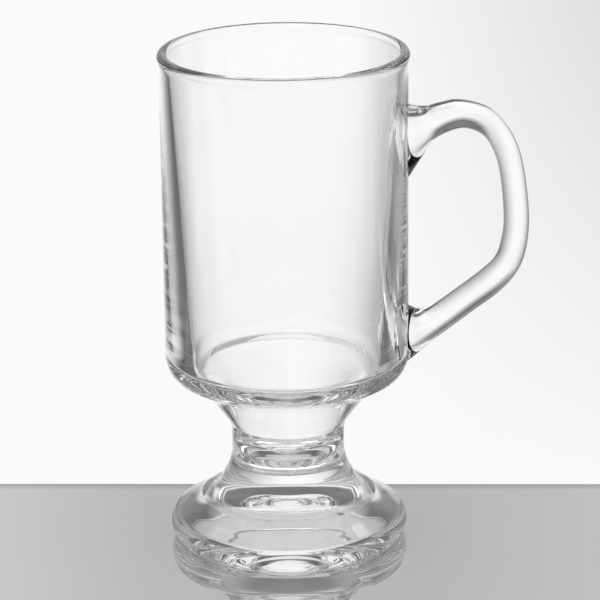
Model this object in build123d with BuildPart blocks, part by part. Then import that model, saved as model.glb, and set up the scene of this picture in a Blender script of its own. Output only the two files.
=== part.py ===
"""Irish coffee glass mug: bowl, stem, foot and handle, joined glass to glass. Millimetres, +Z up, handle on +X."""

import os
from math import cos, radians, sin, tan

from build123d import *

# overall
height = 146.8
wall_radius = 35.5

# lip: a full round bead standing a little proud of the wall
lip_proud = 0.5
lip_bead = 1.56
lip_blend = 2.2

# inside of the bowl: a tapered wall, a rounded floor and a funnel that runs down through the stem
floor_wall = 7.0
floor_edge_z = 57.0
funnel_mouth_radius = 18.4
funnel_mouth_z = 45.8
funnel_slope = 0.545
funnel_tip_z = 24.7

# shoulder under the wall, a narrow ledge, and the cone that narrows to the stem
shoulder_z = 56.4
shoulder_round = 7.6
shoulder_sweep = 78.0
ledge = 3.0
ledge_blend = 1.6

# stem
stem_radius = 16.5
stem_top_z = 35.4
stem_base_z = 26.2

# foot: a flare down to a crease, a sloping top and a rounded edge
foot_radius = 34.9
crease_radius = 25.7
crease_z = 12.9
edge_z = 4.6
edge_width = 2.4
edge_height = 3.8
edge_sweep = 70.0

# underside: a narrow ring to stand on round a bell-shaped hollow
rest_set_in = 2.8
rest_width = 1.4
hollow_top_z = 12.4

# handle: rounded sections from the upper root to the lower, each set by a point on its outer edge, a point on its
# inner edge and half its width, with points given as distance out from the wall and height; the first and last
# section lie inside the wall and are cut off at its face
handle_stations = (
    ((-3.5, 131.4), (-3.5, 103.0), 6.9),
    ((0.7, 130.3), (0.5, 109.6), 6.3),
    ((4.7, 129.8), (3.7, 114.8), 5.6),
    ((9.1, 130.8), (7.5, 120.2), 5.3),
    ((14.9, 131.5), (14.6, 123.3), 5.25),
    ((23.3, 128.8), (19.9, 122.0), 5.25),
    ((29.7, 121.5), (23.3, 118.2), 5.25),
    ((33.0, 112.2), (25.9, 110.8), 5.25),
    ((34.8, 98.0), (27.3, 97.4), 5.25),
    ((34.3, 88.1), (26.6, 89.4), 5.25),
    ((31.9, 80.9), (25.0, 84.7), 5.25),
    ((26.6, 74.5), (21.6, 81.0), 5.25),
    ((19.4, 69.0), (14.4, 75.4), 5.25),
    ((12.1, 63.4), (7.3, 70.4), 5.25),
    ((5.9, 58.6), (3.3, 68.9), 5.6),
    ((1.1, 54.4), (0.5, 69.9), 6.3),
    ((-3.5, 50.6), (-3.5, 73.0), 6.9),
)


def funnel_radius(z):
    """Radius of the straight part of the funnel at one height."""
    return funnel_mouth_radius - (funnel_mouth_z - z) * funnel_slope


def between(start, end, across, along):
    """A point part of the way from one point of a section to another, in radius and in height."""
    return (start[0] + (end[0] - start[0]) * across, start[1] + (end[1] - start[1]) * along)


def on_ellipse(centre, width, rise, angle):
    """A point on an upright ellipse."""
    return (centre[0] + width * cos(radians(angle)), centre[1] + rise * sin(radians(angle)))


os.makedirs("parts", exist_ok=True)

# corners that two pieces share
funnel_at_top = (funnel_radius(stem_top_z), stem_top_z)
funnel_at_base = (funnel_radius(stem_base_z), stem_base_z)
stem_top_edge = (stem_radius, stem_top_z)
stem_base_edge = (stem_radius, stem_base_z)

# bowl: half section turned about the upright axis
lip_z = height - lip_bead
lip_centre = wall_radius + lip_proud - lip_bead
floor_edge = (wall_radius - floor_wall, floor_edge_z)
funnel_mouth = (funnel_mouth_radius, funnel_mouth_z)
shoulder_centre = (wall_radius - shoulder_round, shoulder_z)
shoulder_end = on_ellipse(shoulder_centre, shoulder_round, shoulder_round, -shoulder_sweep)
ledge_corner = (shoulder_end[0] - ledge, shoulder_end[1] - ledge / tan(radians(shoulder_sweep)))

with BuildPart() as bowl:
    with BuildSketch(Plane.XZ) as bowl_section:
        with BuildLine():
            Polyline(funnel_at_top, stem_top_edge, ledge_corner, shoulder_end)
            CenterArc(shoulder_centre, shoulder_round, -shoulder_sweep, shoulder_sweep)
            Line((wall_radius, shoulder_z), (wall_radius, lip_z - lip_blend))
            Spline(
                (wall_radius, lip_z - lip_blend),
                (wall_radius + lip_proud, lip_z),
                tangents=((0, 1), (0, 1)),
            )
            CenterArc((lip_centre, lip_z), lip_bead, 0, 180)
            Line((lip_centre - lip_bead, lip_z), floor_edge)
            Spline(
                floor_edge,
                between(floor_edge, funnel_mouth, 0.12, 0.23),
                between(floor_edge, funnel_mouth, 0.5, 0.49),
                funnel_mouth,
                tangents=((-0.05, -1), (-funnel_slope, -1)),
            )
            Line(funnel_mouth, funnel_at_top)
        make_face()
        fillet(bowl_section.vertices().sort_by_distance((*ledge_corner, 0))[0], ledge_blend)
    revolve(axis=Axis.Z)
bowl.part.label = "bowl"
export_step(bowl.part, "parts/bowl.step")

# stem: a short collar round the lower part of the funnel
with BuildPart() as stem:
    with BuildSketch(Plane.XZ):
        with BuildLine():
            Polyline(funnel_at_base, stem_base_edge, stem_top_edge, funnel_at_top, close=True)
        make_face()
    revolve(axis=Axis.Z)
stem.part.label = "stem"
export_step(stem.part, "parts/stem.step")

# foot: the funnel's rounded tip, the flare, the sloping top, the rounded edge and the hollow underside
crease = (crease_radius, crease_z)
edge_centre = (foot_radius - edge_width, edge_z)
edge_end = on_ellipse(edge_centre, edge_width, edge_height, edge_sweep)
edge_heading = (-edge_width * sin(radians(edge_sweep)), edge_height * cos(radians(edge_sweep)))
hollow_top = (0, hollow_top_z)
rest_outer = foot_radius - rest_set_in
rest_start = (rest_outer - rest_width, 0)

with BuildPart() as foot:
    with BuildSketch(Plane.XZ):
        with BuildLine():
            Spline(hollow_top, between(hollow_top, rest_start, 0.57, 0.47), rest_start, tangents=((1, 0), (1, 0)))
            Line(rest_start, (rest_outer, 0))
            EllipticalCenterArc((rest_outer, edge_z), rest_set_in, edge_z, 270, arc_size=90)
            EllipticalCenterArc(edge_centre, edge_width, edge_height, 0, arc_size=edge_sweep)
            Spline(edge_end, crease, tangents=(edge_heading, (-1, 0.95)))
            Spline(
                crease,
                between(crease, stem_base_edge, 0.67, 0.42),
                stem_base_edge,
                tangents=((-1, 0.36), (-0.14, 1)),
            )
            Line(stem_base_edge, funnel_at_base)
            Spline(funnel_at_base, (0, funnel_tip_z), tangents=((-funnel_slope, -1), (-1, 0)))
            Line((0, funnel_tip_z), hollow_top)
        make_face()
    revolve(axis=Axis.Z)
foot.part.label = "foot"
export_step(foot.part, "parts/foot.step")

# handle: one smooth body through the sections, seated on the wall
with BuildPart() as handle:
    for outer, inner, half_width in handle_stations:
        across = Vector(outer[0] - inner[0], 0, outer[1] - inner[1])
        middle = (wall_radius + (outer[0] + inner[0]) / 2, 0, (outer[1] + inner[1]) / 2)
        with BuildSketch(Plane(origin=middle, x_dir=(0, 1, 0), z_dir=(across.Z, 0, -across.X))):
            Ellipse(half_width, across.length / 2)
    loft()
    with Locations((0, 0, height / 2)):
        Cylinder(wall_radius, height, mode=Mode.SUBTRACT)
handle.part.label = "handle"
export_step(handle.part, "parts/handle.step")
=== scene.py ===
"""Irish coffee glass mug: clear bowl, stem, foot and handle on a grey board in a white studio."""

import math

import bmesh
import bpy
from bpy.props import FloatProperty, FloatVectorProperty, IntProperty, PointerProperty
from mathutils import Matrix, Vector


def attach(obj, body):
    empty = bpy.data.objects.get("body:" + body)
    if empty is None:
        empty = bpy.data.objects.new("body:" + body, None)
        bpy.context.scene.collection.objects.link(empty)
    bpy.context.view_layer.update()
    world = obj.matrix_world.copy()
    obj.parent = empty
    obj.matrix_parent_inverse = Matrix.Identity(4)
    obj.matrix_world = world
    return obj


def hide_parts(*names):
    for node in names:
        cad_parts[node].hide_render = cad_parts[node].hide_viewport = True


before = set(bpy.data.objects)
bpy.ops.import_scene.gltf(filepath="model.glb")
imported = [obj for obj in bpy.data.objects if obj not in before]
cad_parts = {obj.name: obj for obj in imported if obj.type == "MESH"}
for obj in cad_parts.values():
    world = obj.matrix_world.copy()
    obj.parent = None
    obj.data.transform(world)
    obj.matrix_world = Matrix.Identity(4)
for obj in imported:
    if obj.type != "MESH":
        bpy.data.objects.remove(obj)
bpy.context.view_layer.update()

bl_info = {
    "name": "Irish Coffee Glass Mug",
    "version": (1, 0, 0),
    "blender": (4, 5, 0),
    "location": "View3D > Sidebar > Mug",
    "description": "Models a clear glass mug on a foot, piece by piece",
    "category": "Add Mesh",
}

MM = 0.001
BODY = "root"

# sizes in millimetres: radii and heights of the half sections that are turned
LIP_TOP = 146.8
LIP_BEAD = 1.56
LIP_PROUD = 0.5
LIP_BLEND = 2.2
WALL_RADIUS = 35.5
FLOOR_EDGE = 57.0
FUNNEL_TIP = 21.9
SHOULDER_Z = 56.4
SHOULDER_ROUND = 7.6
SHOULDER_SWEEP = 78.0
LEDGE_CORNER = (26.48, 48.33)
LEDGE_BLEND = 1.6
STEM_RADIUS = 16.5
STEM_TOP = 35.4
STEM_SWEEP = 9.0
STEM_BASE = 26.2
FUNNEL = (
    (28.5, FLOOR_EDGE), (28.2, 55.5), (27.3, 54.4), (25.8, 53.4), (23.4, 51.5), (21.0, 49.1), (18.4, 45.8),
    (15.6, 40.5), (13.6, STEM_TOP), (12.2, 31.2), (10.7, 28.2), (9.3, STEM_BASE), (6.6, 23.7), (3.4, 22.3),
    (0.0, FUNNEL_TIP),
)
FOOT_RADIUS = 34.9
CREASE = (25.7, 12.9)
FOOT_FLARE = (
    CREASE, (23.0, 13.7), (20.9, 15.9), (19.4, 18.4), (18.2, 20.8), (17.3, 23.0), (16.8, 24.8),
    (STEM_RADIUS, STEM_BASE),
)
FOOT_SLOPE = ((31.2, 9.3), (28.5, 10.8), CREASE)
EDGE_Z = 4.6
EDGE_WIDTH = 2.4
EDGE_HEIGHT = 3.8
EDGE_SWEEP = 70.0
REST_SET_IN = 2.8
REST_WIDTH = 1.4
HOLLOW = (
    (0.0, 12.4), (5.0, 12.1), (9.0, 11.1), (13.0, 9.1), (17.0, 6.4), (21.0, 3.7), (24.5, 1.9), (27.8, 0.6),
    (FOOT_RADIUS - REST_SET_IN - REST_WIDTH, 0.0),
)

# how the wall swells out under the lip: share of LIP_PROUD gained, and share of LIP_BLEND still to climb
LIP_SWELL = ((0.0, 1.0), (0.25, 0.6), (0.85, 0.2), (1.0, 0.0))

# handle sections: a point on the outer edge, a point on the inner edge and half the width, in millimetres
HANDLE_STATIONS = (
    ((32.6, 131.2), (32.6, 104.0), 6.9),
    ((36.2, 130.3), (36.0, 109.6), 6.3),
    ((40.2, 129.8), (39.2, 114.8), 5.6),
    ((44.6, 130.8), (43.0, 120.2), 5.3),
    ((50.4, 131.5), (50.1, 123.3), 5.25),
    ((58.8, 128.8), (55.4, 122.0), 5.25),
    ((65.2, 121.5), (58.8, 118.2), 5.25),
    ((68.5, 112.2), (61.4, 110.8), 5.25),
    ((70.3, 98.0), (62.8, 97.4), 5.25),
    ((69.8, 88.1), (62.1, 89.4), 5.25),
    ((67.4, 80.9), (60.5, 84.7), 5.25),
    ((62.1, 74.5), (57.1, 81.0), 5.25),
    ((54.9, 69.0), (49.9, 75.4), 5.25),
    ((47.6, 63.4), (42.8, 70.4), 5.25),
    ((41.4, 58.6), (38.8, 68.9), 5.6),
    ((36.6, 54.4), (36.0, 69.9), 6.3),
    ((32.6, 51.0), (32.6, 72.4), 6.9),
)

# tolerances: points of a section and rings in millimetres, then places in a mesh in metres
POINT_GAP = 1e-4
RING_SLACK = 0.02
SPOT = 1e-6
WELD = 2e-6
LEVEL = 1e-5
FLAT = 0.99
SEAM_CORNERS = 12

# board in metres: its size, its drop below the foot, the rounding of its back edge, and the strip of painted
# shade along that edge
BOARD_SIZE = (6.0, 3.0, 0.006)
BOARD_DROP = 0.00005
BOARD_ROUND = 0.0012
EDGE_SHADE_STRIP = (-0.006, -0.0015)
EDGE_SHADE_GLOSS = 0.25

# light round the glass, from below the level up: degrees from straight behind, and brightness
UNDER_RING = (
    (-180, 0.95), (-110, 0.95), (-97, 0.2), (-40, 0.1), (-34, 0.25), (-28, 0.58), (-20, 0.85), (-8, 1.0),
    (3, 1.0), (11, 0.8), (20, 0.56), (34, 0.3), (46, 0.14), (97, 0.2), (110, 0.95), (180, 0.95),
)
STUDIO_RING = (
    (-180, 0.95), (-110, 0.95), (-97, 0.1), (-40, 0.1), (-34, 0.25), (-28, 0.46), (-22, 0.76), (-14, 0.95),
    (-8, 1.0), (3, 1.0), (11, 0.85), (20, 0.62), (30, 0.42), (44, 0.25), (54, 0.42), (66, 0.42), (75, 0.1),
    (97, 0.1), (110, 0.95), (180, 0.95),
)
UPPER_RING = (
    (-180, 0.3), (-90, 0.1), (-55, 0.4), (-33, 0.36), (-18, 0.14), (0, 0.18), (18, 0.14), (33, 0.36),
    (55, 0.42), (90, 0.1), (180, 0.3),
)
MIRROR_RING = (
    (-180, 1.0), (-90, 1.0), (-30, 0.6), (-14, 0.7), (-8, 0.9), (-3, 0.64), (2, 0.6), (8, 0.74), (14, 0.65),
    (30, 0.6), (90, 1.0), (180, 1.0),
)

# where bands of the light begin, as the rise of a look of length one; a third value is a soft end
STUDIO_FROM = (-0.42, -0.37)
PIT_FROM = (-0.7, -0.78)
UPPER_FROM = (-0.06, 0.14)
CEILING_FROM = (0.72, 0.8)
GAP_FROM = (-0.75, -0.7)
ABOVE_FROM = (-0.04, 0.04)
MIRROR_BAND = (0.1, 0.42, 0.06)
LAMP_BAND = (0.76, 0.92, 0.04)
DUSK_FROM = (-0.37, -0.22)

# the same in degrees from straight behind
LEFT_GAP = (-37.1, -41.0)
RIGHT_GAP = (60.1, 64.1)
ABOVE_SIDE = (27.0, 19.8)
LAMP_SIDES = (-36.0, 43.2, 10.8)
DUSK_SIDE = (1.1, 6.1)

# bounces: under the first no surface has mirrored the light, over the second it has crossed the whole bowl
MIRRORED_ONCE = 0.5
CROSSED_BOWL = 3.5


class MugGlassSettings(bpy.types.PropertyGroup):
    """Finish of the clear glass."""

    colour: FloatVectorProperty(
        name="Colour", description="Tint of the clear glass", subtype="COLOR", size=3,
        min=0.0, max=1.0, default=(0.997, 1.0, 0.999),
    )
    ior: FloatProperty(name="IOR", description="Refraction of soda glass", default=1.52, min=1.3, max=1.8)
    roughness: FloatProperty(
        name="Roughness", description="Fire-polished surface", subtype="FACTOR",
        default=0.0, min=0.0, max=1.0,
    )
    wave_depth: FloatProperty(
        name="Wave Depth", description="Depth of the slow waves a press mould leaves", unit="LENGTH",
        default=0.00003, min=0.0, max=0.001, precision=5,
    )
    wave_scale: FloatProperty(
        name="Wave Scale", description="Waves in a metre of glass", default=90.0, min=1.0, max=1000.0,
    )
    wave_stretch: FloatProperty(
        name="Wave Stretch", description="Waves counted upwards for each one counted sideways",
        default=0.35, min=0.01, max=10.0,
    )


class MugShapeSettings(bpy.types.PropertyGroup):
    """How finely the glass is modelled."""

    turn_steps: IntProperty(
        name="Turn Steps", description="Steps round the axis", default=240, min=48, max=360,
    )
    corner_steps: IntProperty(
        name="Corner Steps", description="Steps in a rounded corner", default=12, min=3, max=24,
    )
    curve_steps: IntProperty(
        name="Curve Steps", description="Steps between two knots", default=10, min=2, max=24,
    )
    handle_ring: IntProperty(
        name="Handle Ring", description="Points round the handle", default=64, min=16, max=96,
    )
    handle_steps: IntProperty(
        name="Handle Steps", description="Rings between two handle sections", default=6, min=1, max=12,
    )
    smooth_angle: FloatProperty(
        name="Smooth Angle", description="Edges with a wider turn than this stay sharp", subtype="ANGLE",
        default=math.radians(32),
    )


class MugStageSettings(bpy.types.PropertyGroup):
    """Board, studio and camera."""

    board_colour: FloatVectorProperty(
        name="Board Colour", description="Grey of the board", subtype="COLOR", size=3,
        min=0.0, max=1.0, default=(0.42, 0.42, 0.425),
    )
    board_roughness: FloatProperty(
        name="Board Roughness", description="Blur in the board's gloss", subtype="FACTOR",
        default=0.02, min=0.0, max=1.0,
    )
    board_gloss: FloatProperty(
        name="Board Gloss", description="Share of the light that the board mirrors", subtype="FACTOR",
        default=0.6, min=0.0, max=1.0,
    )
    board_back: FloatProperty(
        name="Board Back Edge", description="Distance of the back edge behind the mug's axis", unit="LENGTH",
        default=0.0388, min=0.0, max=1.0,
    )
    board_turn: FloatProperty(
        name="Board Turn", description="Turn of the back edge", subtype="ANGLE", default=math.radians(-2.1),
    )
    white: FloatProperty(
        name="White", description="Brightness of the backdrop", default=0.97, min=0.0, max=1.0,
    )
    dusk: FloatProperty(
        name="Dusk", description="Brightness of the backdrop's far right corner",
        default=0.76, min=0.0, max=1.0,
    )
    pit: FloatProperty(
        name="Pit", description="Brightness far below, behind the board", default=0.1, min=0.0, max=1.0,
    )
    ceiling: FloatProperty(
        name="Ceiling", description="Brightness of the ceiling", default=0.92, min=0.0, max=1.0,
    )
    softbox: FloatProperty(
        name="Softbox", description="Brightness of the lamp above and behind", default=3.5, min=0.0, max=20.0,
    )
    tint: FloatVectorProperty(
        name="Tint", description="Colour of the studio's light", subtype="COLOR", size=3, min=0.0, max=1.0,
        default=(0.988, 0.982, 1.0),
    )
    lens: FloatProperty(
        name="Lens", description="Focal length", unit="CAMERA", default=184.06, min=20.0, max=400.0,
    )
    distance: FloatProperty(
        name="Distance", description="Camera in front of the axis", unit="LENGTH", default=0.84752,
    )
    height: FloatProperty(
        name="Height", description="Camera above the board", unit="LENGTH", default=0.34819,
    )
    pitch: FloatProperty(name="Pitch", description="Camera looking down", subtype="ANGLE", default=0.31489)
    yaw: FloatProperty(name="Yaw", description="Camera turned aside", subtype="ANGLE", default=0.00466)
    roll: FloatProperty(name="Roll", description="Camera rolled", subtype="ANGLE", default=0.01124)


class MugSettings(bpy.types.PropertyGroup):
    """All the mug's settings."""

    glass: PointerProperty(type=MugGlassSettings)
    shape: PointerProperty(type=MugShapeSettings)
    stage: PointerProperty(type=MugStageSettings)


def settings():
    return bpy.context.scene.mug


def link(tree, a, b):
    tree.links.new(a, b)


def clear_glass(name):
    """Clear pressed glass with slow waves in its surface."""
    s = settings().glass
    material = bpy.data.materials.new(name)
    material.use_nodes = True
    tree = material.node_tree
    shader = tree.nodes["Principled BSDF"]
    shader.inputs["Base Color"].default_value = (*s.colour, 1)
    shader.inputs["Transmission Weight"].default_value = 1.0
    shader.inputs["Roughness"].default_value = s.roughness
    shader.inputs["IOR"].default_value = s.ior
    place = tree.nodes.new("ShaderNodeTexCoord")
    stretch = tree.nodes.new("ShaderNodeMapping")
    stretch.inputs["Scale"].default_value = (1.0, 1.0, s.wave_stretch)
    waves = tree.nodes.new("ShaderNodeTexNoise")
    waves.inputs["Scale"].default_value = s.wave_scale
    waves.inputs["Detail"].default_value = 1.5
    waves.inputs["Roughness"].default_value = 0.4
    bump = tree.nodes.new("ShaderNodeBump")
    bump.inputs["Strength"].default_value = 1.0
    bump.inputs["Distance"].default_value = s.wave_depth
    link(tree, place.outputs["Object"], stretch.inputs["Vector"])
    link(tree, stretch.outputs["Vector"], waves.inputs["Vector"])
    link(tree, waves.outputs["Fac"], bump.inputs["Height"])
    link(tree, bump.outputs["Normal"], shader.inputs["Normal"])
    return material


def fused_face():
    """The face where two pieces of glass are melted together: nothing of it shows."""
    material = bpy.data.materials.get("fused_face")
    if material:
        return material
    material = bpy.data.materials.new("fused_face")
    material.use_nodes = True
    tree = material.node_tree
    tree.nodes.remove(tree.nodes["Principled BSDF"])
    through = tree.nodes.new("ShaderNodeBsdfTransparent")
    link(tree, through.outputs["BSDF"], tree.nodes["Material Output"].inputs["Surface"])
    return material


def deselect_all():
    if bpy.context.object and bpy.context.object.mode != "OBJECT":
        bpy.ops.object.mode_set(mode="OBJECT")
    bpy.ops.object.select_all(action="DESELECT")


def only(obj):
    deselect_all()
    obj.select_set(True)
    bpy.context.view_layer.objects.active = obj


def pick(obj, verts=None, edges=None, faces=None):
    """Selects in edit mode the elements for which a test holds, and counts them."""
    mesh = bmesh.from_edit_mesh(obj.data)
    for group in (mesh.verts, mesh.edges, mesh.faces):
        for element in group:
            element.select = False
    mode = "VERT" if verts else "EDGE" if edges else "FACE"
    bpy.ops.mesh.select_mode(type=mode)
    found = 0
    for group, test in ((mesh.verts, verts), (mesh.edges, edges), (mesh.faces, faces)):
        if test:
            for element in group:
                if test(element):
                    element.select_set(True)
                    found += 1
    mesh.select_flush_mode()
    bmesh.update_edit_mesh(obj.data)
    return found


def arc(centre, width, height, start, end):
    """Points on an upright ellipse or circle between two angles in degrees."""
    steps = max(2, round(abs(end - start) / 90 * settings().shape.corner_steps))
    angles = [math.radians(start + (end - start) * k / steps) for k in range(steps + 1)]
    return [(centre[0] + width * math.cos(a), centre[1] + height * math.sin(a)) for a in angles]


def between(rows, i, t):
    """A row between two neighbours, on a smooth line through them all."""
    a, b, c, d = (rows[max(0, min(len(rows) - 1, i + k))] for k in (-1, 0, 1, 2))
    return [
        0.5 * (2 * q + (r - p) * t + (2 * p - 5 * q + 4 * r - s) * t * t + (3 * q - p - 3 * r + s) * t ** 3)
        for p, q, r, s in zip(a, b, c, d)
    ]


def smooth_rows(rows, first, last, steps):
    """Rows on a smooth line through given ones, over the stretch from the first to the last."""
    points = [between(rows, i, k / steps) for i in range(first, last) for k in range(steps)]
    return [*points, rows[last]]


def curve(knots):
    """Points on a smooth curve through a few knots."""
    return smooth_rows(knots, 0, len(knots) - 1, settings().shape.curve_steps)


def funnel(top, base):
    """Points down the inside of the funnel between two of its knots, given by their heights."""
    heights = [z for r, z in FUNNEL]
    return smooth_rows(FUNNEL, heights.index(top), heights.index(base), settings().shape.curve_steps)


def stem_side():
    """Points up the stem's hollow round: below the joint with the bowl, and above it to the cone."""
    cone = math.atan2(LEDGE_CORNER[0] - STEM_RADIUS, LEDGE_CORNER[1] - STEM_TOP)
    centre = (STEM_RADIUS + STEM_SWEEP, STEM_TOP - STEM_SWEEP * math.tan(cone / 2))
    joint = math.degrees(math.asin((STEM_TOP - centre[1]) / STEM_SWEEP))
    below = arc(centre, STEM_SWEEP, STEM_SWEEP, 180, 180 - joint)
    above = arc(centre, STEM_SWEEP, STEM_SWEEP, 180 - joint, 180 - math.degrees(cone))
    return below, above


def draw_section(name, points, roundings=()):
    """Draws a half section point by point in the XZ plane and rounds some corners. Leaves edit mode on."""
    deselect_all()
    bpy.ops.mesh.primitive_plane_add(size=MM, location=(0, 0, 0))
    obj = bpy.context.object
    obj.name = obj.data.name = name
    bpy.ops.object.mode_set(mode="EDIT")
    bpy.ops.mesh.select_mode(type="VERT")
    bpy.ops.mesh.select_all(action="SELECT")
    bpy.ops.mesh.merge(type="CENTER")
    path = [points[0]]
    path += [b for a, b in zip(points, points[1:]) if math.dist(a, b) > POINT_GAP]
    bpy.ops.transform.translate(value=(path[0][0] * MM, 0, path[0][1] * MM))
    for (r0, z0), (r1, z1) in zip(path, path[1:]):
        step = ((r1 - r0) * MM, 0, (z1 - z0) * MM)
        bpy.ops.mesh.extrude_vertices_move(TRANSFORM_OT_translate={"value": step})
    for corner, rounding in roundings:
        round_corner(obj, corner, rounding)
    return obj


def round_corner(obj, corner, rounding):
    """Bevels one corner of a section."""
    spot = Vector((corner[0] * MM, 0, corner[1] * MM))
    if pick(obj, verts=lambda v: (v.co - spot).length < SPOT) != 1:
        raise RuntimeError("a section corner was not found")
    bpy.ops.mesh.bevel(
        offset_type="OFFSET", offset=rounding * MM, segments=settings().shape.corner_steps,
        profile=0.5, affect="VERTICES", clamp_overlap=False,
    )


def turn_section(obj, materials):
    """Spins the drawn section round the axis, closes it and sets its finish."""
    bpy.ops.mesh.select_all(action="SELECT")
    bpy.ops.mesh.spin(
        steps=settings().shape.turn_steps, angle=2 * math.pi, center=(0, 0, 0), axis=(0, 0, 1),
    )
    bpy.ops.mesh.select_all(action="SELECT")
    bpy.ops.mesh.remove_doubles(threshold=WELD)
    bpy.ops.mesh.normals_make_consistent(inside=False)
    bpy.ops.object.mode_set(mode="OBJECT")
    for material in materials:
        obj.data.materials.append(material)
    obj.data.validate()


def fuse(obj, height, inner, outer):
    """Gives the flat ring where the next piece is joined the finish that does not show."""
    def at_joint(face):
        middle = face.calc_center_median()
        level = abs(face.normal.z) > FLAT and abs(middle.z - height * MM) < LEVEL
        return level and (inner - RING_SLACK) * MM < middle.xy.length < (outer + RING_SLACK) * MM

    only(obj)
    bpy.ops.object.mode_set(mode="EDIT")
    if not pick(obj, faces=at_joint):
        raise RuntimeError("no joint face was found")
    finish_picked(obj)
    bpy.ops.object.mode_set(mode="OBJECT")


def finish_picked(obj):
    """Gives the picked faces the finish of a fused face."""
    names = [material.name for material in obj.data.materials]
    obj.active_material_index = names.index("fused_face")
    bpy.ops.object.material_slot_assign()


def smooth(obj):
    only(obj)
    bpy.ops.object.shade_smooth_by_angle(angle=settings().shape.smooth_angle)


def seat(obj, node):
    """Puts a finished piece on its body in place of its solid."""
    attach(obj, BODY)
    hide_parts(node)


class MUG_OT_bowl(bpy.types.Operator):
    """Model the bowl: straight wall, rolled lip, tapered inside and funnel."""

    bl_idname = "mug.bowl"
    bl_label = "Bowl"

    def execute(self, context):
        inside = funnel(FLOOR_EDGE, STEM_TOP)
        side = stem_side()[1]
        shoulder = (WALL_RADIUS - SHOULDER_ROUND, SHOULDER_Z)
        lip_z = LIP_TOP - LIP_BEAD
        section = [
            inside[-1],
            *side,
            LEDGE_CORNER,
            *arc(shoulder, SHOULDER_ROUND, SHOULDER_ROUND, -SHOULDER_SWEEP, 0),
            *curve([(WALL_RADIUS + out * LIP_PROUD, lip_z - down * LIP_BLEND) for out, down in LIP_SWELL]),
            *arc((WALL_RADIUS + LIP_PROUD - LIP_BEAD, lip_z), LIP_BEAD, LIP_BEAD, 0, 180),
            *inside,
        ]
        bowl = draw_section("bowl_glass", section, [(LEDGE_CORNER, LEDGE_BLEND)])
        turn_section(bowl, [clear_glass("glass_of_bowl"), fused_face()])
        fuse(bowl, STEM_TOP, inside[-1][0], side[0][0])
        smooth(bowl)
        return {"FINISHED"}


class MUG_OT_stem(bpy.types.Operator):
    """Model the stem: a short collar round the end of the funnel."""

    bl_idname = "mug.stem"
    bl_label = "Stem"

    def execute(self, context):
        inside = funnel(STEM_TOP, STEM_BASE)
        side = stem_side()[0]
        section = [inside[-1], (STEM_RADIUS, STEM_BASE), *side, *inside]
        stem = draw_section("stem_glass", section)
        turn_section(stem, [clear_glass("glass_of_stem"), fused_face()])
        fuse(stem, STEM_TOP, inside[0][0], side[-1][0])
        fuse(stem, STEM_BASE, inside[-1][0], STEM_RADIUS)
        smooth(stem)
        seat(stem, "stem")
        return {"FINISHED"}


class MUG_OT_foot(bpy.types.Operator):
    """Model the foot: stepped flare, round edge, ring to stand on and hollow underside."""

    bl_idname = "mug.foot"
    bl_label = "Foot"

    def execute(self, context):
        inside = funnel(STEM_BASE, FUNNEL_TIP)
        edge = arc((FOOT_RADIUS - EDGE_WIDTH, EDGE_Z), EDGE_WIDTH, EDGE_HEIGHT, 0, EDGE_SWEEP)
        section = [
            *curve(HOLLOW),
            *arc((FOOT_RADIUS - REST_SET_IN, EDGE_Z), REST_SET_IN, EDGE_Z, -90, 0),
            *edge,
            *curve([edge[-1], *FOOT_SLOPE]),
            *curve(FOOT_FLARE),
            *inside,
        ]
        foot = draw_section("foot_glass", section)
        turn_section(foot, [clear_glass("glass_of_foot"), fused_face()])
        fuse(foot, STEM_BASE, inside[0][0], STEM_RADIUS)
        smooth(foot)
        seat(foot, "foot")
        return {"FINISHED"}


def handle_rings():
    """Sets a ring at each section of the handle, from inside the wall and back. Leaves edit mode on."""
    shape = settings().shape
    rows = [(*outer, *inner, half) for outer, inner, half in HANDLE_STATIONS]
    deselect_all()
    bpy.ops.mesh.primitive_circle_add(vertices=shape.handle_ring, radius=MM, location=(0, 0, 0))
    obj = bpy.context.object
    obj.name = obj.data.name = "handle_glass"
    bpy.ops.object.mode_set(mode="EDIT")
    bpy.ops.mesh.select_mode(type="VERT")
    bpy.ops.mesh.select_all(action="SELECT")
    bpy.ops.mesh.delete(type="VERT")
    for ox, oz, ix, iz, half in smooth_rows(rows, 0, len(rows) - 1, shape.handle_steps):
        across = Vector((ox - ix, 0, oz - iz)) * MM
        reach = across.length / 2
        lean = math.atan2(across.x, across.z) - math.pi / 2
        bpy.ops.mesh.primitive_circle_add(vertices=shape.handle_ring, radius=reach, location=(0, 0, 0))
        bpy.ops.transform.resize(value=(1, half * MM / reach, 1), center_override=(0, 0, 0))
        bpy.ops.transform.rotate(value=-lean, orient_axis="Y", center_override=(0, 0, 0))
        bpy.ops.transform.translate(value=((ox + ix) / 2 * MM, 0, (oz + iz) / 2 * MM))
        bpy.ops.mesh.select_all(action="DESELECT")
    return obj


def skin_rings(obj, size):
    """Bridges each ring to the next and closes both ends."""
    count = len(bmesh.from_edit_mesh(obj.data).verts) // size
    for i in range(count - 1):
        pair = range(i * size, (i + 2) * size)
        pick(obj, edges=lambda e: len(e.link_faces) < 2 and all(v.index in pair for v in e.verts))
        bpy.ops.mesh.bridge_edge_loops()
    pick(obj, edges=lambda e: len(e.link_faces) == 1)
    bpy.ops.mesh.fill_holes(sides=0)
    bpy.ops.mesh.select_all(action="SELECT")
    bpy.ops.mesh.normals_make_consistent(inside=False)
    bpy.ops.object.mode_set(mode="OBJECT")


class MUG_OT_handle(bpy.types.Operator):
    """Model the handle with its flared roots and melt it on to the bowl's wall."""

    bl_idname = "mug.handle"
    bl_label = "Handle"

    def execute(self, context):
        bar = handle_rings()
        skin_rings(bar, settings().shape.handle_ring)
        bar.data.materials.append(clear_glass("glass_of_handle"))
        melt_on(bpy.data.objects["bowl_glass"], bar)
        return {"FINISHED"}


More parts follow.
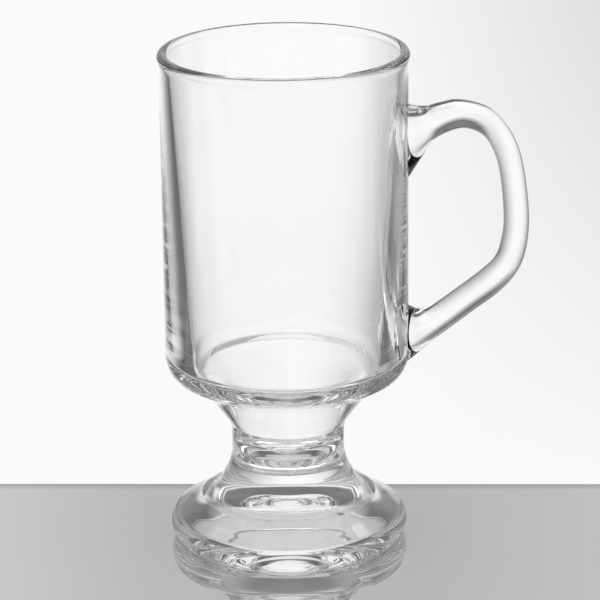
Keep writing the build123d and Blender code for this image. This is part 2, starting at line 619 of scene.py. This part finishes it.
def melt_on(bowl, bar):
    """Joins the handle's bar and the bowl into one surface, then parts the handle again at the seam."""
    only(bowl)
    join = bowl.modifiers.new("melt", "BOOLEAN")
    join.operation = "UNION"
    join.solver = "EXACT"
    join.material_mode = "TRANSFER"
    join.object = bar
    bpy.ops.object.modifier_apply(modifier=join.name)
    name, spent = bar.name, bar.data
    bpy.data.objects.remove(bar)
    bpy.data.meshes.remove(spent)
    glass_of_handle = [material.name for material in bowl.data.materials].index("glass_of_handle")
    only(bowl)
    bpy.ops.object.mode_set(mode="EDIT")
    if not pick(bowl, faces=lambda f: f.material_index == glass_of_handle):
        raise RuntimeError("the handle was lost when it was melted on")
    bpy.ops.mesh.separate(type="SELECTED")
    bpy.ops.object.mode_set(mode="OBJECT")
    handle = next(o for o in bpy.context.selected_objects if o != bowl)
    handle.name = handle.data.name = name
    for obj in (bowl, handle):
        close_seam(obj)
        smooth(obj)
    seat(bowl, "bowl")
    seat(handle, "handle")


def close_seam(obj):
    """Closes a piece where its neighbour was parted from it."""
    only(obj)
    bpy.ops.object.mode_set(mode="EDIT")
    if not pick(obj, edges=lambda e: len(e.link_faces) == 1):
        raise RuntimeError("no seam was found to close")
    bpy.ops.mesh.mark_sharp()
    rim = {v.index for v in bmesh.from_edit_mesh(obj.data).verts if v.select}
    bpy.ops.mesh.fill_holes(sides=0)
    if not pick(obj, faces=lambda f: len(f.verts) > SEAM_CORNERS and all(v.index in rim for v in f.verts)):
        raise RuntimeError("the seam was not closed")
    finish_picked(obj)
    bpy.ops.mesh.quads_convert_to_tris()
    bpy.ops.object.mode_set(mode="OBJECT")


class MUG_OT_stage(bpy.types.Operator):
    """Set the board, the white studio and the camera."""

    bl_idname = "mug.stage"
    bl_label = "Stage"

    def execute(self, context):
        make_board()
        make_studio()
        make_camera()
        context.scene.view_settings.view_transform = "Standard"
        # light runs far up and down inside thick glass before it leaves
        context.scene.cycles.max_bounces = 64
        context.scene.cycles.transmission_bounces = 64
        context.scene.cycles.glossy_bounces = 24
        return {"FINISHED"}


def make_board():
    """A thin glossy board whose back edge lies just behind the mug."""
    s = settings().stage
    deselect_all()
    bpy.ops.mesh.primitive_cube_add(size=1.0, location=(0, 0, 0))
    board = bpy.context.object
    board.name = board.data.name = "board"
    bpy.ops.object.mode_set(mode="EDIT")
    bpy.ops.mesh.select_all(action="SELECT")
    width, depth, thick = BOARD_SIZE
    bpy.ops.transform.resize(value=(width, depth, thick))
    bpy.ops.transform.translate(value=(0, -depth / 2, -thick / 2 - BOARD_DROP))
    pick(board, edges=lambda e: all(v.co.z > -thick / 2 and v.co.y > -depth / 4 for v in e.verts))
    bpy.ops.mesh.bevel(offset=BOARD_ROUND, segments=4, affect="EDGES")
    bpy.ops.object.mode_set(mode="OBJECT")
    board.location.y = s.board_back
    board.rotation_euler.z = s.board_turn
    board.data.materials.append(grey_board())


def grey_board():
    """A grey acrylic board with a mirror gloss, and a strip of painted shade along its back edge, where less
    of the gloss is mixed in.
    """
    s = settings().stage
    material = bpy.data.materials.new("grey_board")
    material.use_nodes = True
    tree = material.node_tree
    tree.nodes.remove(tree.nodes["Principled BSDF"])
    place = tree.nodes.new("ShaderNodeTexCoord")
    parts = tree.nodes.new("ShaderNodeSeparateXYZ")
    link(tree, place.outputs["Object"], parts.inputs["Vector"])
    # painted shade of the back edge: the board mirrors less towards that edge, so it turns darker there
    edge = step_at(tree, parts.outputs["Y"], *EDGE_SHADE_STRIP)
    matt = tree.nodes.new("ShaderNodeBsdfDiffuse")
    matt.inputs["Color"].default_value = (*s.board_colour, 1)
    gloss = tree.nodes.new("ShaderNodeBsdfGlossy")
    gloss.inputs["Color"].default_value = (0.97, 0.97, 0.97, 1)
    gloss.inputs["Roughness"].default_value = s.board_roughness
    share = tree.nodes.new("ShaderNodeMapRange")
    share.inputs["To Min"].default_value = s.board_gloss
    share.inputs["To Max"].default_value = s.board_gloss * EDGE_SHADE_GLOSS
    link(tree, edge, share.inputs["Value"])
    both = tree.nodes.new("ShaderNodeMixShader")
    link(tree, share.outputs["Result"], both.inputs["Fac"])
    link(tree, matt.outputs["BSDF"], both.inputs[1])
    link(tree, gloss.outputs["BSDF"], both.inputs[2])
    link(tree, both.outputs["Shader"], tree.nodes["Material Output"].inputs["Surface"])
    return material


def step_at(tree, value, start, end):
    """Nought on the near side of start and one beyond end, with an even slope between them."""
    step = tree.nodes.new("ShaderNodeMapRange")
    step.inputs["From Min"].default_value = start
    step.inputs["From Max"].default_value = end
    link(tree, value, step.inputs["Value"])
    return step.outputs["Result"]


def reckon(tree, operation, a, b):
    """One sum on two numbers, the second given as a socket or a plain number, held between nought and one."""
    node = tree.nodes.new("ShaderNodeMath")
    node.operation = operation
    node.use_clamp = True
    link(tree, a, node.inputs[0])
    if isinstance(b, float):
        node.inputs[1].default_value = b
    else:
        link(tree, b, node.inputs[1])
    return node.outputs["Value"]


def within(tree, value, low, high, soft):
    """One inside a range, nought outside it, with soft ends."""
    return reckon(
        tree, "MULTIPLY", step_at(tree, value, low - soft, low), step_at(tree, value, high + soft, high),
    )


def tinted(value):
    """A brightness in the colour of the studio's light."""
    return (*[value * part for part in settings().stage.tint], 1)


def blend(tree, share, first, second):
    """Mixes two brightnesses, the second given as a socket or a plain grey."""
    mix = tree.nodes.new("ShaderNodeMix")
    mix.data_type = "RGBA"
    link(tree, share, mix.inputs["Factor"])
    link(tree, first, mix.inputs[6])
    if isinstance(second, float):
        mix.inputs[7].default_value = tinted(second)
    else:
        link(tree, second, mix.inputs[7])
    return mix.outputs[2]


def ring_ramp(tree, turn, rows):
    """Brightness round the studio by degrees from straight behind."""
    ramp = tree.nodes.new("ShaderNodeValToRGB")
    stops = ramp.color_ramp.elements
    stops.remove(stops[1])
    stops[0].position = 0.0
    stops[0].color = tinted(rows[0][1])
    for degrees, value in rows[1:]:
        stops.new((degrees + 180) / 360).color = tinted(value)
    link(tree, step_at(tree, turn, -180, 180), ramp.inputs["Fac"])
    return ramp.outputs["Color"]


def look(tree):
    """The rise of a look of length one, and its degrees from straight behind, to the right."""
    place = tree.nodes.new("ShaderNodeTexCoord")
    parts = tree.nodes.new("ShaderNodeSeparateXYZ")
    link(tree, place.outputs["Generated"], parts.inputs["Vector"])
    angle = tree.nodes.new("ShaderNodeMath")
    angle.operation = "ARCTAN2"
    link(tree, parts.outputs["X"], angle.inputs[0])
    link(tree, parts.outputs["Y"], angle.inputs[1])
    turn = tree.nodes.new("ShaderNodeMath")
    turn.operation = "DEGREES"
    link(tree, angle.outputs["Value"], turn.inputs[0])
    return parts.outputs["Z"], turn.outputs["Value"]


def room_light(tree, height, turn):
    """The room by direction: a pit far below, light behind between dark flags, and a bright ceiling."""
    s = settings().stage
    under = ring_ramp(tree, turn, UNDER_RING)
    light = blend(tree, step_at(tree, height, *STUDIO_FROM), under, ring_ramp(tree, turn, STUDIO_RING))
    light = blend(tree, step_at(tree, height, *PIT_FROM), light, s.pit)
    light = blend(tree, step_at(tree, height, *UPPER_FROM), light, ring_ramp(tree, turn, UPPER_RING))
    return blend(tree, step_at(tree, height, *CEILING_FROM), light, s.ceiling)


def through_glass(tree, path, height, turn, light):
    """Lays over the room what light sees once it is through the glass."""
    white = settings().stage.white
    # light that goes straight through sees white beyond the middle, to both sides
    straight = reckon(tree, "LESS_THAN", path.outputs["Glossy Depth"], MIRRORED_ONCE)
    aside = reckon(tree, "MAXIMUM", step_at(tree, turn, *LEFT_GAP), step_at(tree, turn, *RIGHT_GAP))
    gap = reckon(tree, "MULTIPLY", aside, step_at(tree, height, *GAP_FROM))
    light = blend(tree, reckon(tree, "MULTIPLY", straight, gap), light, white)
    # light that crosses the whole bowl sees white above
    across = reckon(tree, "GREATER_THAN", path.outputs["Transmission Depth"], CROSSED_BOWL)
    above = reckon(tree, "MULTIPLY", step_at(tree, height, *ABOVE_FROM), step_at(tree, turn, *ABOVE_SIDE))
    return blend(tree, reckon(tree, "MULTIPLY", across, above), light, white)


def in_mirrors(tree, path, height, turn, light):
    """Lays over the room what the board and the surface of the glass mirror."""
    mirror = reckon(tree, "SUBTRACT", path.outputs["Is Glossy Ray"], path.outputs["Is Transmission Ray"])
    band = reckon(tree, "MULTIPLY", within(tree, height, *MIRROR_BAND), mirror)
    light = blend(tree, band, light, ring_ramp(tree, turn, MIRROR_RING))
    # a soft lamp above and behind
    lamp = reckon(tree, "MULTIPLY", within(tree, height, *LAMP_BAND), within(tree, turn, *LAMP_SIDES))
    return blend(tree, reckon(tree, "MULTIPLY", lamp, mirror), light, settings().stage.softbox)


def backdrop(tree, height, turn):
    """White that falls off towards its upper right."""
    s = settings().stage
    wall = tree.nodes.new("ShaderNodeRGB")
    wall.outputs["Color"].default_value = tinted(s.white)
    corner = reckon(tree, "MULTIPLY", step_at(tree, turn, *DUSK_SIDE), step_at(tree, height, *DUSK_FROM))
    return blend(tree, corner, wall.outputs["Color"], s.dusk)


def make_studio():
    """Plain white for the camera; the glass and the board see the room."""
    world = bpy.data.worlds.new("studio")
    bpy.context.scene.world = world
    world.use_nodes = True
    tree = world.node_tree
    tree.nodes.clear()
    height, turn = look(tree)
    path = tree.nodes.new("ShaderNodeLightPath")
    light = room_light(tree, height, turn)
    light = through_glass(tree, path, height, turn, light)
    light = in_mirrors(tree, path, height, turn, light)
    room = tree.nodes.new("ShaderNodeBackground")
    link(tree, light, room.inputs["Color"])
    plain = tree.nodes.new("ShaderNodeBackground")
    link(tree, backdrop(tree, height, turn), plain.inputs["Color"])
    choose = tree.nodes.new("ShaderNodeMixShader")
    link(tree, path.outputs["Is Camera Ray"], choose.inputs["Fac"])
    link(tree, room.outputs["Background"], choose.inputs[1])
    link(tree, plain.outputs["Background"], choose.inputs[2])
    out = tree.nodes.new("ShaderNodeOutputWorld")
    link(tree, choose.outputs["Shader"], out.inputs["Surface"])


def make_camera():
    """Camera at the photograph's angle."""
    s = settings().stage
    place = (
        Matrix.Translation((0, -s.distance, s.height))
        @ Matrix.Rotation(-s.yaw, 4, "Z")
        @ Matrix.Rotation(math.pi / 2 - s.pitch, 4, "X")
        @ Matrix.Rotation(-s.roll, 4, "Z")
    )
    deselect_all()
    bpy.ops.object.camera_add(location=place.to_translation(), rotation=place.to_euler())
    camera = bpy.context.object
    camera.name = "camera"
    camera.data.lens = s.lens
    camera.data.sensor_width = 36.0
    camera.data.clip_start = 0.01
    bpy.context.scene.camera = camera


class MUG_PT_panel(bpy.types.Panel):
    """The mug's settings and steps."""

    bl_label = "Irish Coffee Mug"
    bl_idname = "MUG_PT_panel"
    bl_space_type = "VIEW_3D"
    bl_region_type = "UI"
    bl_category = "Mug"

    def draw(self, context):
        layout = self.layout
        for group in (context.scene.mug.glass, context.scene.mug.shape, context.scene.mug.stage):
            box = layout.box()
            for name in group.__annotations__:
                box.prop(group, name)
        for step in STEPS:
            layout.operator(step.bl_idname)


STEPS = (MUG_OT_bowl, MUG_OT_stem, MUG_OT_foot, MUG_OT_handle, MUG_OT_stage)
CLASSES = (MugGlassSettings, MugShapeSettings, MugStageSettings, MugSettings, *STEPS, MUG_PT_panel)


def register():
    for cls in CLASSES:
        bpy.utils.register_class(cls)
    bpy.types.Scene.mug = PointerProperty(type=MugSettings)


def unregister():
    del bpy.types.Scene.mug
    for cls in reversed(CLASSES):
        bpy.utils.unregister_class(cls)


def main():
    register()
    bpy.ops.mug.bowl()
    bpy.ops.mug.stem()
    bpy.ops.mug.foot()
    bpy.ops.mug.handle()
    bpy.ops.mug.stage()


if __name__ == "__main__":
    main()
